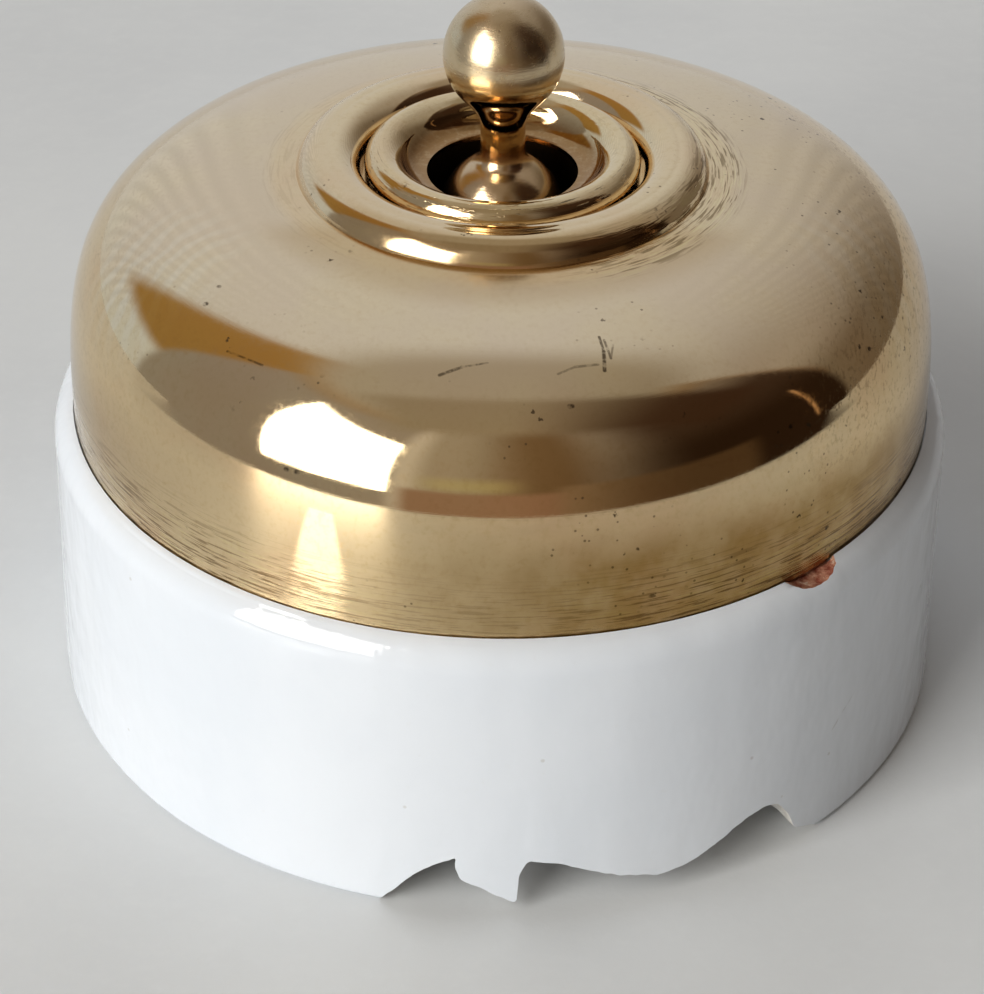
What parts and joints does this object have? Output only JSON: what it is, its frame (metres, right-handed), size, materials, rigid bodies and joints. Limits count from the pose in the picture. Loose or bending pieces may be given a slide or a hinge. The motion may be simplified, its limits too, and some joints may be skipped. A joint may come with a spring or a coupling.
{
  "type": "tumbler wall switch",
  "caption": "Surface tumbler switch: round white porcelain base, polished brass dome cover, ring nut and ball-ended brass dolly over a sprung rocker contact.",
  "frame": {"origin": "centre of the base's bottom face, which sits on the wall", "axes": "+Z out of the wall through the dolly, +X along the dolly's pivot pin, -Y towards the broken-out cable entries"},
  "size_m": [0.0656, 0.0656, 0.051],
  "materials": {
    "porcelain": "glossy white glaze, chipped",
    "polished_brass": "polished, lightly tarnished",
    "plain_brass": "machined, dull",
    "contact_metal": "copper strip, dull",
    "steel_wire": "drawn spring wire",
    "insulating_fibre": "moulded dark brown",
    "lining_fibre": "red vulcanised fibre",
    "pitch": "black sealing pitch"
  },
  "bodies": {
    "switch_body": {"porcelain_base": "porcelain", "brass_cover": "polished_brass", "cover_liner": "lining_fibre", "cover_ring": "polished_brass", "threaded_bush": "plain_brass", "bridge_frame": "plain_brass", "frame_screws": "plain_brass", "frame_nuts": "plain_brass", "dolly_pin": "plain_brass", "rocker_pin": "plain_brass", "line_contact": "contact_metal", "load_contact": "contact_metal", "line_terminal": "plain_brass", "load_terminal": "plain_brass", "terminal_screws": "plain_brass", "terminal_fixing_screws": "plain_brass", "sealing_plugs": "pitch"},
    "lever": {"dolly": "polished_brass", "dolly_spring": "steel_wire"},
    "sprung_plunger": {"plunger": "plain_brass"},
    "contact_rocker": {"rocker": "insulating_fibre", "contact_bridge": "contact_metal", "bridge_rivets": "plain_brass"}
  },
  "joints": [
    {"name": "dolly_tilt", "type": "hinge", "parent": "switch_body", "child": "lever", "pos_m": [0, 0, 0.0344], "axis": [1, 0, 0], "range_deg": [-20, 20]},
    {"name": "rocker_flip", "type": "hinge", "parent": "switch_body", "child": "contact_rocker", "pos_m": [0, 0, 0.0202], "axis": [1, 0, 0], "range_deg": [-35, 35]},
    {"name": "plunger_slide", "type": "slide", "parent": "lever", "child": "sprung_plunger", "axis": [0, 0, 1], "range_m": [0, 0.0012], "stiffness_N_per_m": 800, "springref_m": -0.0015, "deforming": ["dolly_spring"]}
  ],
  "couplings": [
    {"joint": "rocker_flip", "follows": "dolly_tilt", "ratio": -1.75}
  ]
}
